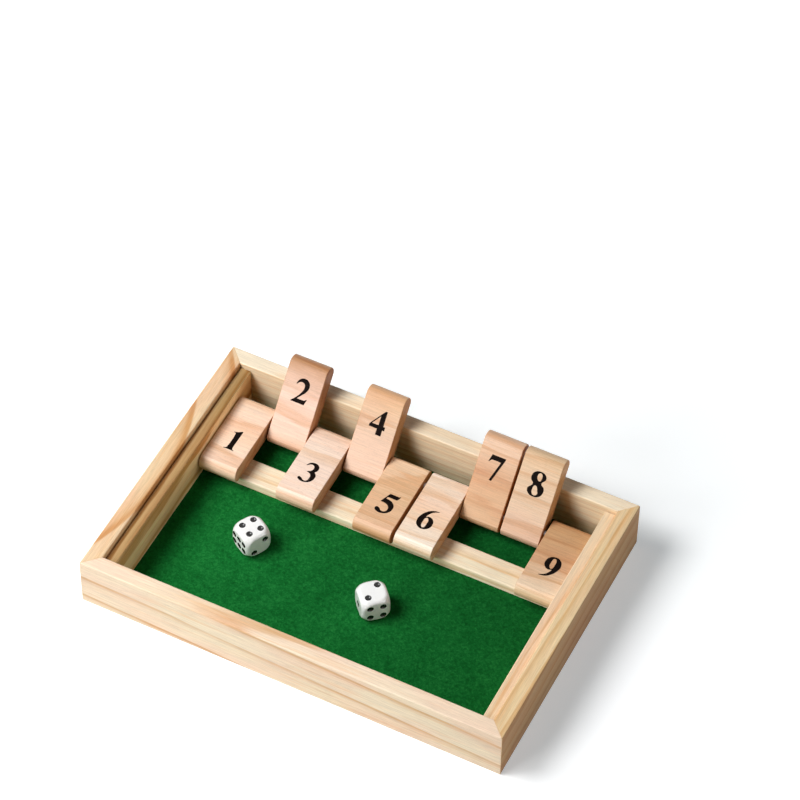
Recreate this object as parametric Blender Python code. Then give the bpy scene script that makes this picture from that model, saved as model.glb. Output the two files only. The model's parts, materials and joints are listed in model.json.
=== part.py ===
# Shut the box game: a mitred pine tray with a felt floor, nine number tiles hinged
# on one steel rod, and two dice. Metres, +Z up, +X to the player's right, +Y away
# from the player. The origin is the middle of the underside.

import math

import bmesh
import bpy
from mathutils import Matrix, Vector

# Frame
BOX_LENGTH = 0.216
BOX_DEPTH = 0.149
BOX_HEIGHT = 0.028
RAIL_THICKNESS = 0.008
RAIL_EDGE_RADIUS = 0.0006
MITRE_GAP = 0.0003
REBATE_WIDTH = 0.004

# Floor
BOARD_THICKNESS = 0.0024
BOARD_EDGE_RADIUS = 0.0003
FELT_THICKNESS = 0.0006
SEAT_GAP = 0.0003          # between pieces that are glued or rest on each other

# Side strips that hold the rod
STRIP_THICKNESS = 0.0057
STRIP_DROP = 0.003         # the strips stop this far below the rim
STRIP_FRONT_GAP = 0.0009   # they are cut a little short at the front
STRIP_EDGE_RADIUS = 0.0005

# Rod
ROD_DIAMETER = 0.003
ROD_TO_BACK_RAIL = 0.0174  # from the rod's axis to the inner face of the back rail
ROD_ABOVE_FELT = 0.011
ROD_BORE_CLEARANCE = 0.0003
ROD_SOCKET_WALL = 0.0012    # wood left behind the rod's ends
ROD_END_CHAMFER = 0.0004

# Number tiles
TILE_COUNT = 9
TILE_LENGTH = 0.045
TILE_THICKNESS = 0.0092
TILE_SIDE_PLAY = 0.0098    # all the room beside the tiles, together
TILE_BORE_TO_END = 0.008   # from the bore's axis to the hinge end
TILE_NOSE_RISE = 0.0029     # both ends are drawn to an arc this high
TILE_EDGE_RADIUS = 0.0004
RAISED_TILES = (2, 4, 7, 8)

# How the side play is shared out: left of tile 1, between the tiles, right of tile 9
PLAY_SHARES = (0.05, 0.09, 0.08, 0.08, 0.04, 0.17, 0.05, 0.13, 0.17, 0.14)

# Ledge that the lowered tiles rest on
LEDGE_DEPTH = 0.013
LEDGE_HEIGHT = 0.0049
LEDGE_EDGE_RADIUS = 0.0007
TILE_OVERHANG = 0.0053     # a lowered tile reaches this far over the ledge's front
TILE_REST_GAP = 0.0003

# Dice
DIE_SIZE = 0.014
DIE_EDGE_RADIUS = 0.002
DIE_CORNER_BALL = 0.019    # the corners are tumbled down to a ball of this diameter
DIE_BALL_BLEND = 0.06      # how softly the ball meets the sides, as a share of its radius
PIP_SPACING = 0.0062       # across and along every number but the six
SIX_ROW_SPACING = 0.0046   # between the two rows of the six
SIX_ROW_LENGTH = 0.0079    # from the first pip of a row to its third
PIP_DIAMETER = 0.0032
PIP_DEPTH = 0.0008

# Where the dice lie in the tray, as shares of its width and depth, and their turn
DIE_PLACES_SHARES = {"die_left": (0.2255, 0.6436), "die_right": (0.5856, 0.5507)}
DIE_TURNS_DEG = {"die_left": 60.6, "die_right": 43.0}

ARC_STEPS = 5
FINE_ARC_STEPS = 2
NOSE_STEPS = 12
ROUND_SIDES = 24
PIP_SIDES = 12
PIP_RINGS = 8
DIE_CUTS = 11
FLAT_TOLERANCE = 0.000001

# Places that follow from the sizes
HALF_LENGTH = BOX_LENGTH / 2
HALF_DEPTH = BOX_DEPTH / 2
BOARD_BED = BOARD_THICKNESS + SEAT_GAP
FELT_TOP = BOARD_BED + FELT_THICKNESS
REBATE_HEIGHT = FELT_TOP + SEAT_GAP
RAIL_INNER_X = HALF_LENGTH - RAIL_THICKNESS
RAIL_INNER_Y = HALF_DEPTH - RAIL_THICKNESS
TRAY_HALF_WIDTH = RAIL_INNER_X - SEAT_GAP - STRIP_THICKNESS
ROD_Y = RAIL_INNER_Y - ROD_TO_BACK_RAIL
ROD_Z = FELT_TOP + ROD_ABOVE_FELT
ROD_SPAN = 2 * (TRAY_HALF_WIDTH + STRIP_THICKNESS - ROD_SOCKET_WALL)
TILE_REACH = TILE_LENGTH - TILE_BORE_TO_END
TILE_WIDTH = (2 * TRAY_HALF_WIDTH - TILE_SIDE_PLAY) / TILE_COUNT
LEDGE_FRONT_Y = ROD_Y - TILE_REACH + TILE_OVERHANG
LEDGE_BACK_Y = LEDGE_FRONT_Y + LEDGE_DEPTH
LEDGE_BASE = FELT_TOP + SEAT_GAP
LEDGE_TOP = LEDGE_BASE + LEDGE_HEIGHT

# Base colour, roughness and metallic value of each finish
FINISHES = {
    "pine": ((0.80, 0.62, 0.40), 0.55, 0.0),
    "pine_strip": ((0.70, 0.50, 0.28), 0.55, 0.0),
    "pine_ledge": ((0.82, 0.66, 0.46), 0.55, 0.0),
    "beech": ((0.76, 0.54, 0.38), 0.5, 0.0),
    "green_felt": ((0.01, 0.16, 0.03), 0.95, 0.0),
    "fibreboard": ((0.36, 0.24, 0.14), 0.8, 0.0),
    "steel": ((0.6, 0.6, 0.62), 0.3, 1.0),
    "white_acrylic": ((0.85, 0.85, 0.84), 0.2, 0.0),
}


def clear_scene():
    for old in list(bpy.data.objects):
        bpy.data.objects.remove(old, do_unlink=True)


def finish(name):
    colour, roughness, metallic = FINISHES[name]
    material = bpy.data.materials.new(name)
    material.use_nodes = True
    shader = material.node_tree.nodes["Principled BSDF"]
    shader.inputs["Base Color"].default_value = (*colour, 1.0)
    shader.inputs["Roughness"].default_value = roughness
    shader.inputs["Metallic"].default_value = metallic
    material.diffuse_color = (*colour, 1.0)
    return material


def add_piece(name, mesh, material_name, parent, smooth_angle=None):
    piece = bpy.data.objects.new(name, mesh)
    bpy.context.collection.objects.link(piece)
    piece.parent = parent
    mesh.materials.append(finish(material_name))
    if smooth_angle is not None:
        mesh.shade_smooth()
        mesh.set_sharp_from_angle(angle=smooth_angle)
    return piece


def mesh_from(bm, name):
    bmesh.ops.recalc_face_normals(bm, faces=bm.faces)
    mesh = bpy.data.meshes.new(name)
    bm.to_mesh(mesh)
    bm.free()
    return mesh


def rounded_outline(corners, steps=ARC_STEPS):
    """Outline through corners (u, v, radius), with an arc at each corner that has a radius."""
    outline = []
    count = len(corners)
    for index, (u, v, radius) in enumerate(corners):
        corner = Vector((u, v))
        if radius <= 0:
            outline.append(corner)
            continue
        before = (Vector(corners[index - 1][:2]) - corner).normalized()
        after = (Vector(corners[(index + 1) % count][:2]) - corner).normalized()
        half_angle = before.angle(after) / 2
        centre = corner + (before + after).normalized() * (radius / math.sin(half_angle))
        reach = radius / math.tan(half_angle)
        start = corner + before * reach - centre
        turn = start.angle_signed(corner + after * reach - centre)
        for step in range(steps + 1):
            angle = -turn * step / steps
            outline.append(centre + Matrix.Rotation(angle, 2) @ start)
    return outline


def loft(name, ring_a, ring_b):
    """Closed solid between two rings of the same number of points."""
    bm = bmesh.new()
    near = [bm.verts.new(point) for point in ring_a]
    far = [bm.verts.new(point) for point in ring_b]
    bm.faces.new(near)
    bm.faces.new(list(reversed(far)))
    for index in range(len(near)):
        following = (index + 1) % len(near)
        bm.faces.new((near[index], far[index], far[following], near[following]))
    return mesh_from(bm, name)


def rail_mesh(name, rail_length):
    """Rail along X with its outer face at y = 0: rebated for the floor and mitred at both ends."""
    profile = rounded_outline([
        (0, 0, RAIL_EDGE_RADIUS),
        (0, BOX_HEIGHT, RAIL_EDGE_RADIUS),
        (RAIL_THICKNESS, BOX_HEIGHT, RAIL_EDGE_RADIUS),
        (RAIL_THICKNESS, REBATE_HEIGHT, 0),
        (RAIL_THICKNESS - REBATE_WIDTH, REBATE_HEIGHT, 0),
        (RAIL_THICKNESS - REBATE_WIDTH, 0, 0),
    ], FINE_ARC_STEPS)
    pull_back = MITRE_GAP / math.sqrt(2)
    ends = []
    for side in (-1, 1):
        reach = rail_length / 2 - pull_back
        ends.append([(side * (reach - inward), inward, height) for inward, height in profile])
    return loft(name, *ends)


def make_rails(parent):
    rails = (
        ("front_rail", BOX_LENGTH, (0, -HALF_DEPTH, 0), 0),
        ("right_rail", BOX_DEPTH, (HALF_LENGTH, 0, 0), 90),
        ("back_rail", BOX_LENGTH, (0, HALF_DEPTH, 0), 180),
        ("left_rail", BOX_DEPTH, (-HALF_LENGTH, 0, 0), 270),
    )
    for name, rail_length, place, turn in rails:
        rail = add_piece(name, rail_mesh(name, rail_length), "pine", parent, math.radians(30))
        rail.location = place
        rail.rotation_euler.z = math.radians(turn)


def sheet_mesh(name, half_x, half_y, thickness, radius):
    """Flat sheet with rounded corners, standing on z = 0."""
    outline = rounded_outline([
        (-half_x, -half_y, radius),
        (half_x, -half_y, radius),
        (half_x, half_y, radius),
        (-half_x, half_y, radius),
    ])
    low = [(x, y, 0) for x, y in outline]
    high = [(x, y, thickness) for x, y in outline]
    return loft(name, low, high)


def make_floor(parent):
    half_x = RAIL_INNER_X + REBATE_WIDTH - SEAT_GAP
    half_y = RAIL_INNER_Y + REBATE_WIDTH - SEAT_GAP
    mesh = sheet_mesh("bottom_board", half_x, half_y, BOARD_THICKNESS, BOARD_EDGE_RADIUS)
    add_piece("bottom_board", mesh, "fibreboard", parent)
    mesh = sheet_mesh("felt", half_x, half_y, FELT_THICKNESS, BOARD_EDGE_RADIUS)
    felt = add_piece("felt", mesh, "green_felt", parent)
    felt.location.z = BOARD_BED


def add_cut(piece, cutter, name):
    cut = piece.modifiers.new(name, "BOOLEAN")
    cut.operation = "DIFFERENCE"
    cut.solver = "EXACT"
    cut.object = cutter


def rod_bore_cutter(parent):
    """One long cutter bores the tiles and sinks the rod's sockets in the strips."""
    bm = bmesh.new()
    radius = ROD_DIAMETER / 2 + ROD_BORE_CLEARANCE
    along_x = Matrix.Rotation(math.radians(90), 4, "Y")
    bmesh.ops.create_cone(bm, cap_ends=True, segments=ROUND_SIDES, radius1=radius, radius2=radius,
                          depth=ROD_SPAN, matrix=along_x)
    cutter = bpy.data.objects.new("rod_bore_cutter", mesh_from(bm, "rod_bore_cutter"))
    bpy.context.collection.objects.link(cutter)
    cutter.parent = parent
    cutter.location = (0, ROD_Y, ROD_Z)
    cutter.hide_render = True
    cutter.display_type = "WIRE"
    return cutter


def make_strips(parent, cutter):
    front = -RAIL_INNER_Y + STRIP_FRONT_GAP
    back = RAIL_INNER_Y - SEAT_GAP
    for name, side in (("left_strip", -1), ("right_strip", 1)):
        inner = side * TRAY_HALF_WIDTH
        outer = side * (TRAY_HALF_WIDTH + STRIP_THICKNESS)
        section = rounded_outline([
            (inner, REBATE_HEIGHT, 0),
            (inner, BOX_HEIGHT - STRIP_DROP, STRIP_EDGE_RADIUS),
            (outer, BOX_HEIGHT - STRIP_DROP, STRIP_EDGE_RADIUS),
            (outer, REBATE_HEIGHT, 0),
        ], FINE_ARC_STEPS)
        ring_front = [(x, front, z) for x, z in section]
        ring_back = [(x, back, z) for x, z in section]
        strip = add_piece(name, loft(name, ring_front, ring_back), "pine_strip", parent)
        add_cut(strip, cutter, "rod socket")


def make_ledge(parent):
    reach = TRAY_HALF_WIDTH - SEAT_GAP
    section = rounded_outline([
        (LEDGE_FRONT_Y, LEDGE_BASE, 0),
        (LEDGE_FRONT_Y, LEDGE_TOP, LEDGE_EDGE_RADIUS),
        (LEDGE_BACK_Y, LEDGE_TOP, LEDGE_EDGE_RADIUS),
        (LEDGE_BACK_Y, LEDGE_BASE, 0),
    ], FINE_ARC_STEPS)
    ring_left = [(-reach, y, z) for y, z in section]
    ring_right = [(reach, y, z) for y, z in section]
    add_piece("tile_ledge", loft("tile_ledge", ring_left, ring_right), "pine_ledge", parent)


def make_rod(parent):
    bm = bmesh.new()
    along_x = Matrix.Rotation(math.radians(90), 4, "Y")
    radius = ROD_DIAMETER / 2
    bmesh.ops.create_cone(bm, cap_ends=True, segments=ROUND_SIDES, radius1=radius, radius2=radius,
                          depth=ROD_SPAN - 2 * SEAT_GAP, matrix=along_x)
    rims = [edge for edge in bm.edges if any(len(face.verts) > 4 for face in edge.link_faces)]
    bmesh.ops.bevel(bm, geom=rims, offset=ROD_END_CHAMFER, segments=1, affect="EDGES")
    rod = add_piece("tile_rod", mesh_from(bm, "tile_rod"), "steel", parent, math.radians(30))
    rod.location = (0, ROD_Y, ROD_Z)


def tile_mesh():
    """Tile lowered flat: bore on the origin, free end towards -Y, an arc across each end."""
    half = TILE_THICKNESS / 2
    radius = (half * half + TILE_NOSE_RISE * TILE_NOSE_RISE) / (2 * TILE_NOSE_RISE)
    swing = math.asin(half / radius)
    outline = []
    for middle, way in ((TILE_BORE_TO_END - radius, 1), (radius - TILE_REACH, -1)):
        for step in range(NOSE_STEPS + 1):
            turn = swing * (2 * step / NOSE_STEPS - 1)
            outline.append((middle + way * radius * math.cos(turn), way * radius * math.sin(turn)))
    ring_left = [(-TILE_WIDTH / 2, y, z) for y, z in outline]
    ring_right = [(TILE_WIDTH / 2, y, z) for y, z in outline]
    return loft("number_tile", ring_left, ring_right)


def tilt_onto_edge(forward, up, radius, side):
    """Tilt of a tile that lies on a rounded edge, whose centre is forward of and above the rod.

    The tilt is measured up from the forward direction (-Y). Side is 1 where the tile lies
    over the edge and -1 where it leans back on it.
    """
    standoff = TILE_THICKNESS / 2 + TILE_REST_GAP + radius
    return math.atan2(up, forward) + side * math.asin(standoff / math.hypot(forward, up))


def lowered_tilt():
    """Tilt of a tile whose underside rests on whichever edge of the ledge it meets first."""
    height = LEDGE_TOP - LEDGE_EDGE_RADIUS - ROD_Z
    reaches = (ROD_Y - LEDGE_FRONT_Y - LEDGE_EDGE_RADIUS, ROD_Y - LEDGE_BACK_Y + LEDGE_EDGE_RADIUS)
    return max(tilt_onto_edge(reach, height, LEDGE_EDGE_RADIUS, 1) for reach in reaches)


def raised_tilt():
    """Tilt of a tile whose back leans on the top inner edge of the back rail."""
    height = BOX_HEIGHT - RAIL_EDGE_RADIUS - ROD_Z
    reach = -ROD_TO_BACK_RAIL - RAIL_EDGE_RADIUS
    return tilt_onto_edge(reach, height, RAIL_EDGE_RADIUS, -1)


def make_tiles(parent, cutter):
    left_edge = -TRAY_HALF_WIDTH
    for number in range(1, TILE_COUNT + 1):
        left_edge += PLAY_SHARES[number - 1] * TILE_SIDE_PLAY
        tile = add_piece(f"number_tile_{number}", tile_mesh(), "beech", parent, math.radians(20))
        tilt = raised_tilt() if number in RAISED_TILES else lowered_tilt()
        tile.location = (left_edge + TILE_WIDTH / 2, ROD_Y, ROD_Z)
        tile.rotation_euler.x = -tilt
        ease = tile.modifiers.new("eased edges", "BEVEL")
        ease.width = TILE_EDGE_RADIUS
        ease.segments = FINE_ARC_STEPS
        ease.limit_method = "ANGLE"
        ease.angle_limit = math.radians(60)
        add_cut(tile, cutter, "rod bore")
        left_edge += TILE_WIDTH


def pip_places(value):
    """Places of the pips on one face, from its middle."""
    centre = [(0, 0)]
    rising = [(-1, -1), (1, 1)]
    falling = [(-1, 1), (1, -1)]
    row_middles = [(-1, 0), (1, 0)]
    steps = {
        1: centre,
        2: rising,
        3: rising + centre,
        4: rising + falling,
        5: rising + falling + centre,
        6: rising + falling + row_middles,
    }
    width, length = (SIX_ROW_SPACING, SIX_ROW_LENGTH) if value == 6 else (PIP_SPACING, PIP_SPACING)
    return [(u * width / 2, v * length / 2) for u, v in steps[value]]


# Each face of a die: its pips, its outward direction, and the two directions of its grid
DIE_FACES = (
    (2, "Z", 1, "X", "Y"),
    (5, "Z", -1, "X", "Y"),
    (4, "Y", -1, "X", "Z"),
    (3, "Y", 1, "X", "Z"),
    (1, "X", -1, "Y", "Z"),
    (6, "X", 1, "Y", "Z"),
)
UNIT = {"X": Vector((1, 0, 0)), "Y": Vector((0, 1, 0)), "Z": Vector((0, 0, 1))}


def pip_cutter(name, parent):
    """Balls that drill the shallow round pips of a die."""
    rim = PIP_DIAMETER / 2
    ball = (rim * rim + PIP_DEPTH * PIP_DEPTH) / (2 * PIP_DEPTH)
    stand_off = DIE_SIZE / 2 + ball - PIP_DEPTH
    bm = bmesh.new()
    for value, normal, sign, across, along in DIE_FACES:
        out = UNIT[normal] * sign
        facing = out.to_track_quat("Z", "Y").to_matrix().to_4x4()
        for u, v in pip_places(value):
            place = out * stand_off + UNIT[across] * u + UNIT[along] * v
            pose = Matrix.Translation(place) @ facing
            bmesh.ops.create_uvsphere(bm, u_segments=PIP_SIDES, v_segments=PIP_RINGS, radius=ball,
                                      matrix=pose)
    cutter = bpy.data.objects.new(name, mesh_from(bm, name))
    bpy.context.collection.objects.link(cutter)
    cutter.parent = parent
    cutter.hide_render = True
    cutter.display_type = "WIRE"
    return cutter


def die_mesh(name):
    """Cube with rounded edges, its corners turned down to a ball in a soft blend."""
    half = DIE_SIZE / 2
    core = half - DIE_EDGE_RADIUS
    bm = bmesh.new()
    bmesh.ops.create_cube(bm, size=DIE_SIZE)
    bmesh.ops.subdivide_edges(bm, edges=bm.edges[:], cuts=DIE_CUTS, use_grid_fill=True)
    for vert in bm.verts:
        # The grid is drawn towards the edges, where the surface bends
        spread = Vector([half * math.sin(axis / half * math.pi / 2) for axis in vert.co])
        inner = Vector([max(-core, min(core, axis)) for axis in spread])
        rounded = inner + (spread - inner).normalized() * DIE_EDGE_RADIUS
        reach = DIE_CORNER_BALL / 2 / rounded.length
        near = max(DIE_BALL_BLEND - abs(reach - 1), 0) / DIE_BALL_BLEND
        vert.co = rounded * (min(1, reach) - near * near * DIE_BALL_BLEND / 4)
    # What stays flat on each side becomes one face, which the pips then cut cleanly
    for axis in range(3):
        for sign in (-1, 1):
            flat = [face for face in bm.faces
                    if all(sign * vert.co[axis] > half - FLAT_TOLERANCE for vert in face.verts)]
            bmesh.ops.dissolve_faces(bm, faces=flat, use_verts=False)
    return mesh_from(bm, name)


def make_dice(parent):
    tray_depth = LEDGE_FRONT_Y + RAIL_INNER_Y
    # The left die shows four on top, with its two towards the player
    tip = {
        "die_left": Matrix(((-1, 0, 0), (0, 0, -1), (0, -1, 0))),
        "die_right": Matrix.Identity(3),
    }
    for name, (share_x, share_y) in DIE_PLACES_SHARES.items():
        die = add_piece(name, die_mesh(name), "white_acrylic", parent, math.radians(30))
        yaw = Matrix.Rotation(math.radians(DIE_TURNS_DEG[name]), 3, "Z")
        die.rotation_euler = (yaw @ tip[name]).to_euler()
        die.location = (
            -TRAY_HALF_WIDTH + share_x * 2 * TRAY_HALF_WIDTH,
            -RAIL_INNER_Y + share_y * tray_depth,
            FELT_TOP + SEAT_GAP + DIE_SIZE / 2,
        )
        add_cut(die, pip_cutter(name + "_pips", die), "pips")


def build():
    clear_scene()
    game = bpy.data.objects.new("shut_the_box", None)
    bpy.context.collection.objects.link(game)
    bore = rod_bore_cutter(game)
    make_rails(game)
    make_floor(game)
    make_strips(game, bore)
    make_ledge(game)
    make_rod(game)
    make_tiles(game, bore)
    make_dice(game)


build()
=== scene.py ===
import json
import math

import bmesh
import bpy
from mathutils import Euler, Matrix, Vector, noise


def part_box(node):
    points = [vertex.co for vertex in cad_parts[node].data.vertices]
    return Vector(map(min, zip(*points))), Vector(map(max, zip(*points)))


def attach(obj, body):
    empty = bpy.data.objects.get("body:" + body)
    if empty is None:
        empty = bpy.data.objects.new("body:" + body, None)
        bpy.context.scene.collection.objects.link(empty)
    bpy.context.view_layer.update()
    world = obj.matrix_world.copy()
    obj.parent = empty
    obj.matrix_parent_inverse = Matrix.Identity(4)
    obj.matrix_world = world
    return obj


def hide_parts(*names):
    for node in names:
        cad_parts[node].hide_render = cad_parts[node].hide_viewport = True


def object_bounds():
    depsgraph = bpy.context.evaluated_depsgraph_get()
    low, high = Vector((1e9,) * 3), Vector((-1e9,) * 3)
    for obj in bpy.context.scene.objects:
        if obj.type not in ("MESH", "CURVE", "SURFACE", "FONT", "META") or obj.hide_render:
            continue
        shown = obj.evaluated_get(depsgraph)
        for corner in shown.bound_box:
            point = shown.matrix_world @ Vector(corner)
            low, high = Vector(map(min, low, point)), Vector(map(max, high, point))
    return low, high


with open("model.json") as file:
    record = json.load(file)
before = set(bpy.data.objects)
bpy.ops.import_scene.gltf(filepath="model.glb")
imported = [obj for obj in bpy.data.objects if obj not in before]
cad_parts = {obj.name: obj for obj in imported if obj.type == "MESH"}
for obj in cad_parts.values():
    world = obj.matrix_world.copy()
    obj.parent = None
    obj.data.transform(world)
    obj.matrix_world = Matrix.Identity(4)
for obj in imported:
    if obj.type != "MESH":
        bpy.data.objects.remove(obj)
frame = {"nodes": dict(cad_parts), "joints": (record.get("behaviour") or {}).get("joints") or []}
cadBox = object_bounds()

# Shut the box game, dressed for the studio: lacquered pine, beech number tiles printed
# in black, green felt and two white dice. Lengths are in metres, and in millimetres where
# a name ends in Mm or a comment says so.

mm = 0.001
nodes = frame["nodes"]


# Small helpers that every piece uses

def linear(hexColour):
    # sRGB hex to the linear values that Blender's sockets take
    parts = [int(hexColour[i:i + 2], 16) / 255 for i in (1, 3, 5)]
    return tuple(c / 12.92 if c <= 0.04045 else ((c + 0.055) / 1.055) ** 2.4 for c in parts) + (1.0,)


def addNode(tree, kind, settings=None, inputs=None):
    # A shader node with its settings; each input is a value or another node's output
    node = tree.nodes.new(kind)
    for name, value in (settings or {}).items():
        if name == "stops":
            ramp = node.color_ramp
            while len(ramp.elements) < len(value):
                ramp.elements.new(0.5)
            for element, (place, shade) in zip(ramp.elements, value):
                element.position = place
                element.color = shade if isinstance(shade, tuple) else (shade, shade, shade, 1.0)
        else:
            setattr(node, name, value)
    for name, value in (inputs or {}).items():
        if isinstance(value, bpy.types.NodeSocket):
            tree.links.new(value, node.inputs[name])
        else:
            node.inputs[name].default_value = value
    return node


def newMaterial(name):
    material = bpy.data.materials.new(name)
    material.use_nodes = True
    tree = material.node_tree
    tree.nodes.clear()
    return material, tree


def addPiece(name, bm, material, body, place=Matrix.Identity(4), sharpDeg=35):
    bm.transform(place)
    mesh = bpy.data.meshes.new(name)
    bm.to_mesh(mesh)
    bm.free()
    mesh.shade_smooth()
    mesh.set_sharp_from_angle(angle=math.radians(sharpDeg))
    piece = bpy.data.objects.new(name, mesh)
    bpy.context.scene.collection.objects.link(piece)
    piece.data.materials.append(material)
    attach(piece, body)
    return piece


def bridgeRings(bm, rings):
    # Quads between rings of the same number of points
    for near, far in zip(rings, rings[1:]):
        for i in range(len(near)):
            j = (i + 1) % len(near)
            bm.faces.new((near[i], near[j], far[j], far[i]))


# Camera, at the photograph's angle for a square frame

camera = {
    "place": (0.47065, -0.92819, 1.35279),
    "turnDeg": (40.267, -0.626, 26.711),
    "lensMm": 163.403,
    "sensorMm": 36,
    "clip": (0.05, 20),
}


def makeCamera():
    data = bpy.data.cameras.new("studio camera")
    data.lens = camera["lensMm"]
    data.sensor_width = camera["sensorMm"]
    data.clip_start, data.clip_end = camera["clip"]
    eye = bpy.data.objects.new("studio camera", data)
    bpy.context.scene.collection.objects.link(eye)
    eye.location = camera["place"]
    eye.rotation_euler = [math.radians(a) for a in camera["turnDeg"]]
    bpy.context.scene.camera = eye


# Studio: a large soft box at the left, two low reflector boards, an even sky and a white table

studio = {
    "lamps": (    # name, direction from the game, distance, size, watts
        ("soft box", (-0.83, -0.44, 1.28), 1.15, 0.56, 13.2),
        ("front board", (-0.46, -0.88, 0.52), 1.2, 0.48, 5.6),
        ("right board", (1.00, 0.10, 0.30), 1.4, 0.8, 5.2),
    ),
    "sky": 0.02,
    "skyTint": (1.0, 0.72, 0.46, 1.0),
    "tableHalf": 3.0,
    "tableDrop": 0.05 * mm,            # keeps the table just clear of the underside
    "tableTones": ("#ECECEC", "#F2F2F2"),
    "tableCloudMm": 333,
    "tableNear": 0.15,                 # the table fades to plain white between these distances
    "tableFar": 0.55,
    "glowNear": 0.33,
    "glowFar": 1.0,
    "glowTint": (0.91, 1.035, 1.115, 1.0),
}


def shownRays(tree):
    # One for the rays that the camera sees directly, in gloss or through glass, and else zero
    rays = addNode(tree, "ShaderNodeLightPath")
    shown = rays.outputs["Is Camera Ray"]
    for kind in ("Is Glossy Ray", "Is Transmission Ray"):
        shown = addNode(tree, "ShaderNodeMath", {"operation": "MAXIMUM"},
                        {0: shown, 1: rays.outputs[kind]}).outputs[0]
    return shown


def makeStudio():
    scene = bpy.context.scene
    scene.view_settings.view_transform = "Standard"

    for name, towards, distance, size, watts in studio["lamps"]:
        data = bpy.data.lights.new(name, "AREA")
        data.shape = "SQUARE"
        data.size = size
        data.energy = watts
        lamp = bpy.data.objects.new(name, data)
        scene.collection.objects.link(lamp)
        towards = Vector(towards).normalized()
        lamp.location = towards * distance
        lamp.rotation_euler = towards.to_track_quat("Z", "Y").to_euler()

    # The sky lights softly, and shows white to the camera and in reflections
    world = bpy.data.worlds.new("studio sky")
    scene.world = world
    world.use_nodes = True
    tree = world.node_tree
    tree.nodes.clear()
    shown = shownRays(tree)
    level = addNode(tree, "ShaderNodeMapRange", None, {"Value": shown, "To Min": studio["sky"], "To Max": 1.0})
    tint = addNode(tree, "ShaderNodeMix", {"data_type": "RGBA"},
                   {0: shown, 6: studio["skyTint"], 7: (1, 1, 1, 1)})
    back = addNode(tree, "ShaderNodeBackground", None,
                   {"Color": tint.outputs[2], "Strength": level.outputs[0]})
    addNode(tree, "ShaderNodeOutputWorld", None, {"Surface": back.outputs[0]})

    # White laminate table: matt, and lifted to paper white for the camera, so it keeps the shadow
    material, tree = newMaterial("matt white table")
    coords = addNode(tree, "ShaderNodeTexCoord")
    haze = addNode(tree, "ShaderNodeTexNoise", None,
                   {"Vector": coords.outputs["Object"], "Scale": 1 / (studio["tableCloudMm"] * mm), "Detail": 2.0})
    dark, pale = (linear(tone)[:3] for tone in studio["tableTones"])
    colour = addNode(tree, "ShaderNodeMapRange", {"data_type": "FLOAT_VECTOR"},
                     {"Vector": haze.outputs["Color"], 9: dark, 10: pale})
    matt = addNode(tree, "ShaderNodeBsdfDiffuse", None, {"Color": colour.outputs[1]})
    away = addNode(tree, "ShaderNodeVectorMath", {"operation": "LENGTH"}, {0: coords.outputs["Object"]})
    rise = addNode(tree, "ShaderNodeMapRange", {"interpolation_type": "SMOOTHSTEP"},
                   {"Value": away.outputs[1], "From Min": studio["tableNear"], "From Max": studio["tableFar"],
                    "To Min": studio["glowNear"], "To Max": studio["glowFar"]})
    glow = addNode(tree, "ShaderNodeMath", {"operation": "MULTIPLY"}, {0: shownRays(tree), 1: rise.outputs[0]})
    tint = addNode(tree, "ShaderNodeMix", {"data_type": "RGBA"},
                   {0: rise.outputs[0], 6: studio["glowTint"], 7: (1, 1, 1, 1)})
    lift = addNode(tree, "ShaderNodeEmission", None,
                   {"Color": tint.outputs[2], "Strength": glow.outputs[0]})
    both = addNode(tree, "ShaderNodeAddShader", None, {0: matt.outputs[0], 1: lift.outputs[0]})
    addNode(tree, "ShaderNodeOutputMaterial", None, {"Surface": both.outputs[0]})
    half = studio["tableHalf"]
    bm = bmesh.new()
    bm.faces.new([bm.verts.new((x * half, y * half, -studio["tableDrop"]))
                  for x, y in ((-1, -1), (1, -1), (1, 1), (-1, 1))])
    mesh = bpy.data.meshes.new("table")
    bm.to_mesh(mesh)
    bm.free()
    mesh.materials.append(material)
    table = bpy.data.objects.new("table", mesh)
    scene.collection.objects.link(table)
    print("studio lit")


# Wood: sawn from a log whose rings run through the piece, so top, sides and ends agree.
# Every length is in millimetres, across the piece or along its grain.

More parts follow.
